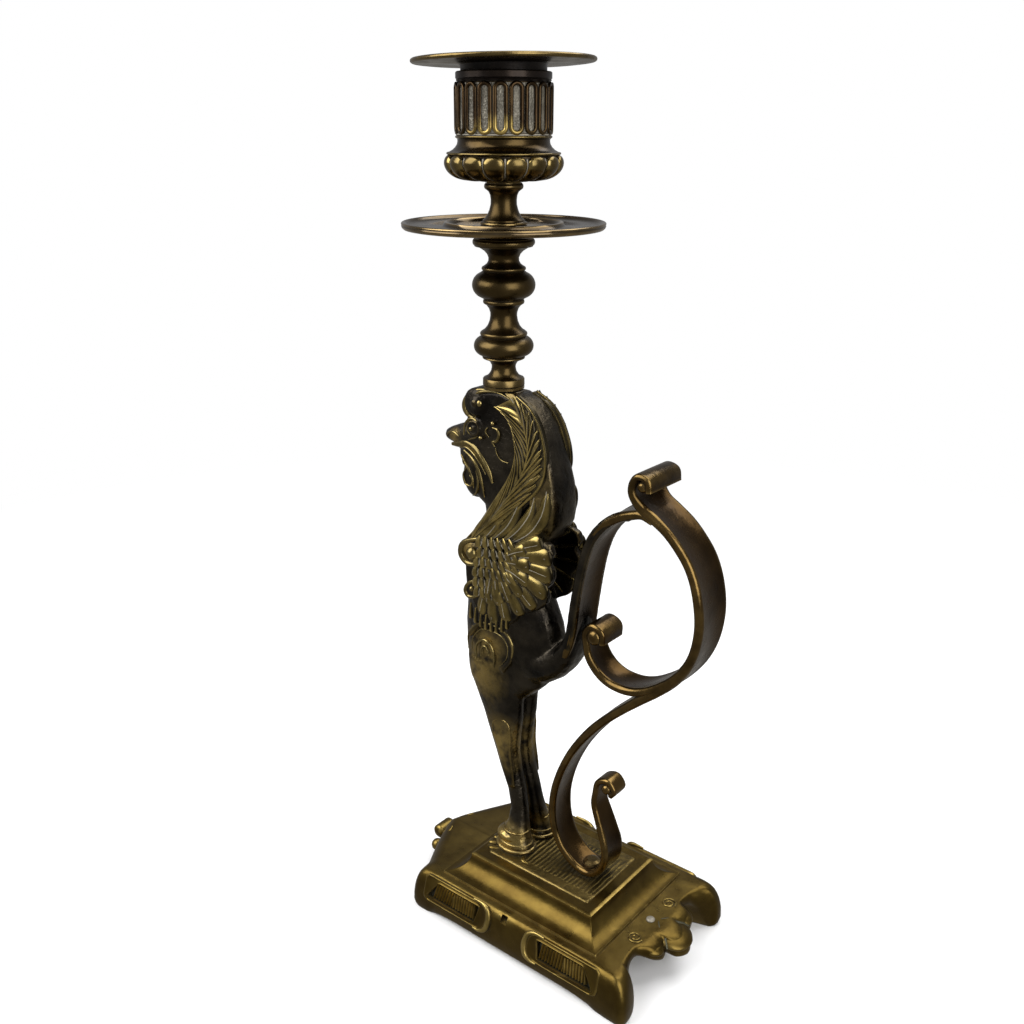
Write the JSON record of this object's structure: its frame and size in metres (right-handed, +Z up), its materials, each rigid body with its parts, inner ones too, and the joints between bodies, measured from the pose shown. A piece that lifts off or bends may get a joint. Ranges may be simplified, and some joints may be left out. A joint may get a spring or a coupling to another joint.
{
  "type": "figural candlestick",
  "caption": "Brass candlestick: griffin figure on an ornamented footed base, scroll tail support, turned stem, drip pan, fluted cup and loose nozzle.",
  "frame": {"origin": "middle of the overall outline, on the ground under the feet", "axes": "+Z up along the stem; the griffin faces -X and its scroll tail is on the +X side; +Y is to its right-hand side seen from behind, left and right sides alike"},
  "size_m": [0.116, 0.0678, 0.296],
  "materials": {
    "olive_brass": "worn olive-yellow cast brass, dark in the recesses",
    "dark_bronze": "dark brown patina rubbed golden on the raised relief",
    "brown_brass": "turned brass with a reddish-brown patina, softly glossy",
    "polished_brass": "worn olive-gold brass, glossy on rims",
    "dark_steel": "dull dark steel"
  },
  "bodies": {
    "root": {"base": "olive_brass", "figure": "dark_bronze", "scroll": "dark_bronze", "stem": "brown_brass", "drip_pan": "polished_brass", "neck": "brown_brass", "cup": "polished_brass", "nozzle": "polished_brass", "tie_rod": "dark_steel", "cup_washer": "dark_steel", "cup_nut": "dark_steel", "leg_screw_near": "dark_steel", "leg_screw_far": "dark_steel", "scroll_screw": "dark_steel", "scroll_nut": "dark_steel"}
  },
  "joints": []
}
